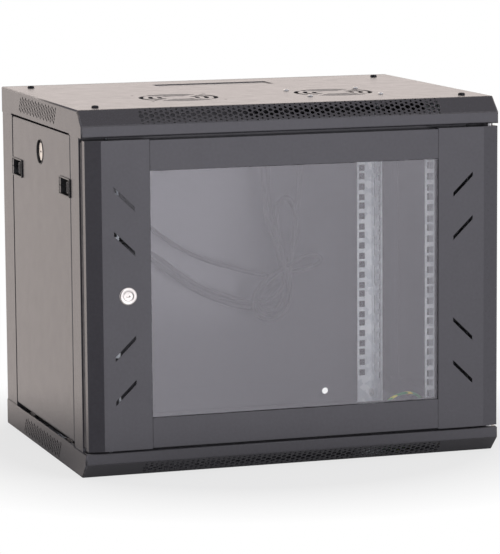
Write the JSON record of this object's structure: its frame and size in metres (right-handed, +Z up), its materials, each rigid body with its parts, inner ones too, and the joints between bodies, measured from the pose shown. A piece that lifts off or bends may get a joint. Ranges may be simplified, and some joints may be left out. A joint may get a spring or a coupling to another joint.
{
  "type": "wall mount network cabinet",
  "caption": "Wall mount network cabinet with a framed glass door, lift-off side panels, cover vents, a top fan and square-hole mounting rails.",
  "frame": {"origin": "centre of the base footprint, on the underside of the bottom cover", "axes": "+X along the width, to the right for someone facing the door; +Y from the door to the wall; +Z up"},
  "size_m": [0.6016, 0.4597, 0.504],
  "materials": {
    "black_powder_coat": "satin black powder coat with a fine texture",
    "galvanised": "bright galvanised steel",
    "glass": "clear toughened glass with a light grey tint",
    "seal_rubber": "matte black foam seal",
    "zinc_fasteners": "bright zinc plating",
    "nickel_lock": "satin nickel plating",
    "cord_rubber": "soft matte black jacket",
    "earth_insulation": "green wire jacket with yellow stripes",
    "black_plastic": "moulded black plastic, fine grain",
    "black_bolts": "black zinc"
  },
  "bodies": {
    "cabinet": {"back_panel": "black_powder_coat", "bottom_cover": "black_powder_coat", "bottom_cover_bolts": "zinc_fasteners", "bottom_entry_plate": "black_powder_coat", "cord_clips": "black_plastic", "depth_beam_bottom_left": "black_powder_coat", "depth_beam_bottom_right": "black_powder_coat", "depth_beam_top_left": "black_powder_coat", "depth_beam_top_right": "black_powder_coat", "earth_studs": "zinc_fasteners", "earth_wire": "earth_insulation", "fan_cord_bight": "cord_rubber", "fan_cord_end": "cord_rubber", "fan_cord_feed": "cord_rubber", "fan_cord_hank": "cord_rubber", "fan_cord_tail": "cord_rubber", "fan_frame": "black_plastic", "fan_plug": "cord_rubber", "fan_screws": "zinc_fasteners", "post_front_left": "black_powder_coat", "post_front_right": "black_powder_coat", "rail_bolts": "zinc_fasteners", "rail_front_left": "galvanised", "rail_front_right": "galvanised", "rail_rear_left": "galvanised", "rail_rear_right": "galvanised", "top_cover": "black_powder_coat", "top_cover_bolts": "black_bolts", "top_entry_plate": "black_powder_coat"},
    "door": {"door_glass": "glass", "door_lock_body": "nickel_lock", "door_lock_nut": "zinc_fasteners", "door_rail_bottom": "black_powder_coat", "door_rail_top": "black_powder_coat", "door_stile_left": "black_powder_coat", "door_stile_right": "black_powder_coat", "glass_clips": "black_powder_coat", "glass_seal": "seal_rubber", "hinge_bracket_lower": "black_powder_coat", "hinge_bracket_upper": "black_powder_coat", "hinge_pin_lower": "zinc_fasteners"},
    "door_lock": {"door_lock_plug": "nickel_lock", "door_lock_cam": "nickel_lock"},
    "hinge_pin": {"hinge_pin_upper": "zinc_fasteners"},
    "fan_rotor": {"fan_rotor": "black_plastic"},
    "panel_left": {"side_panel_left": "black_powder_coat", "side_lock_cup_left": "black_plastic", "latch_housing_left_front": "black_plastic", "latch_housing_left_rear": "black_plastic"},
    "side_lock_left": {"side_lock_plug_left": "nickel_lock"},
    "latch_left_front": {"latch_slider_left_front": "black_plastic"},
    "latch_left_rear": {"latch_slider_left_rear": "black_plastic"},
    "panel_right": {"side_panel_right": "black_powder_coat", "side_lock_cup_right": "black_plastic", "latch_housing_right_front": "black_plastic", "latch_housing_right_rear": "black_plastic"},
    "side_lock_right": {"side_lock_plug_right": "nickel_lock"},
    "latch_right_front": {"latch_slider_right_front": "black_plastic"},
    "latch_right_rear": {"latch_slider_right_rear": "black_plastic"}
  },
  "joints": [
    {"name": "door_swing", "type": "hinge", "parent": "cabinet", "child": "door", "pos_m": [0.288, -0.22, 0.2505], "axis": [0, 0, 1], "range_deg": [0, 180]},
    {"name": "door_lock_turn", "type": "hinge", "parent": "door", "child": "door_lock", "pos_m": [-0.24, -0.2347, 0.2505], "axis": [0, -1, 0], "range_deg": [0, 90]},
    {"name": "hinge_pin_draw", "type": "slide", "parent": "door", "child": "hinge_pin", "axis": [0, 0, -1], "range_m": [0, 0.008], "stiffness_N_per_m": 600, "springref_m": -0.004},
    {"name": "fan_spin", "type": "hinge", "parent": "cabinet", "child": "fan_rotor", "pos_m": [0.1145, -0.06, 0.49], "axis": [0, 0, 1], "continuous": true},
    {"name": "panel_left_tilt", "type": "hinge", "parent": "cabinet", "child": "panel_left", "pos_m": [-0.2978, 0, 0.038], "axis": [0, -1, 0], "range_deg": [0, 20]},
    {"name": "side_lock_left_turn", "type": "hinge", "parent": "panel_left", "child": "side_lock_left", "pos_m": [-0.293, 0.005, 0.426], "axis": [1, 0, 0], "range_deg": [0, 90]},
    {"name": "latch_left_front_slide", "type": "slide", "parent": "panel_left", "child": "latch_left_front", "axis": [0, -1, 0], "range_m": [0, 0.0055]},
    {"name": "latch_left_rear_slide", "type": "slide", "parent": "panel_left", "child": "latch_left_rear", "axis": [0, 1, 0], "range_m": [0, 0.0055]},
    {"name": "panel_right_tilt", "type": "hinge", "parent": "cabinet", "child": "panel_right", "pos_m": [0.2978, 0, 0.038], "axis": [0, 1, 0], "range_deg": [0, 20]},
    {"name": "side_lock_right_turn", "type": "hinge", "parent": "panel_right", "child": "side_lock_right", "pos_m": [0.293, 0.005, 0.426], "axis": [1, 0, 0], "range_deg": [0, 90]},
    {"name": "latch_right_front_slide", "type": "slide", "parent": "panel_right", "child": "latch_right_front", "axis": [0, -1, 0], "range_m": [0, 0.0055]},
    {"name": "latch_right_rear_slide", "type": "slide", "parent": "panel_right", "child": "latch_right_rear", "axis": [0, 1, 0], "range_m": [0, 0.0055]}
  ]
}
